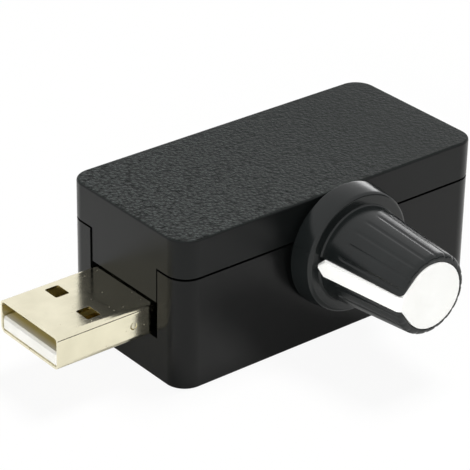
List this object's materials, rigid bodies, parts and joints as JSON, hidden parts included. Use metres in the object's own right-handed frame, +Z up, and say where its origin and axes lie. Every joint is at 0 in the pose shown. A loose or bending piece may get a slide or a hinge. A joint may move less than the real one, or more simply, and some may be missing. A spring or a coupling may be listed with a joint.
{
  "type": "usb fan speed controller",
  "caption": "Small black box with a USB-A plug at one end, a USB-A socket at the other and a turning speed knob with a white pointer on its front face.",
  "frame": {"origin": "centre of the case's underside, which is the face that it rests on", "axes": "+X along the case towards the output socket (the plug points to -X), -Y towards the knob, +Z up"},
  "size_m": [0.0622, 0.0401, 0.0213],
  "materials": {
    "case_abs": "moulded ABS, fine satin texture",
    "cover_abs": "moulded ABS, pebbled spark-eroded top face",
    "knob_abs": "moulded ABS, satin",
    "cap_abs": "white moulded ABS",
    "nickel_steel": "nickel-plated pressed steel, satin bright",
    "white_nylon": "white glass-filled nylon",
    "gold_contact": "flash-gold plated phosphor bronze",
    "board_fr4": "green solder mask on glass-epoxy",
    "zinc_steel": "bright zinc-plated steel",
    "zinc_diecast": "die-cast zinc, threaded",
    "shaft_aluminium": "turned and knurled aluminium",
    "brown_phenolic": "moulded phenolic",
    "black_nylon": "moulded nylon",
    "spring_bronze": "phosphor bronze spring strip",
    "carbon_track": "screen-printed carbon on phenolic",
    "black_epoxy": "moulded epoxy",
    "tan_ceramic": "fired ceramic",
    "tinned_lead": "tin-plated copper",
    "can_aluminium": "drawn aluminium can"
  },
  "bodies": {
    "case": {"bottom_case": "case_abs", "chip_capacitors": "tan_ceramic", "chip_end_caps": "tinned_lead", "chip_resistors": "black_epoxy", "circuit_board": "board_fr4", "diode_body": "black_epoxy", "diode_leads": "tinned_lead", "input_capacitor_base": "black_nylon", "input_capacitor_can": "can_aluminium", "input_capacitor_feet": "tinned_lead", "output_capacitor_base": "black_nylon", "output_capacitor_can": "can_aluminium", "output_capacitor_feet": "tinned_lead", "plug_contact_1": "gold_contact", "plug_contact_2": "gold_contact", "plug_contact_3": "gold_contact", "plug_contact_4": "gold_contact", "plug_insulator": "white_nylon", "plug_shell": "nickel_steel", "pot_body": "brown_phenolic", "pot_bushing": "zinc_diecast", "pot_frame": "zinc_steel", "pot_nut": "zinc_steel", "pot_terminal_1": "tinned_lead", "pot_terminal_2": "tinned_lead", "pot_terminal_3": "tinned_lead", "pot_track": "carbon_track", "pot_washer": "zinc_steel", "socket_contact_1": "gold_contact", "socket_contact_2": "gold_contact", "socket_contact_3": "gold_contact", "socket_contact_4": "gold_contact", "socket_insulator": "white_nylon", "socket_shell": "nickel_steel", "timer_chip": "black_epoxy", "timer_chip_leads": "tinned_lead", "top_cover": "cover_abs", "transistor_body": "black_epoxy", "transistor_leads": "tinned_lead", "transistor_tab": "tinned_lead"},
    "knob": {"knob_body": "knob_abs", "knob_cap": "cap_abs", "pot_shaft": "shaft_aluminium", "pot_rotor": "black_nylon", "pot_wiper": "spring_bronze"}
  },
  "joints": [
    {"name": "knob_turn", "type": "hinge", "parent": "case", "child": "knob", "pos_m": [0.0008, -0.0115, 0.013], "axis": [0, 1, 0], "range_deg": [-65, 235]}
  ]
}
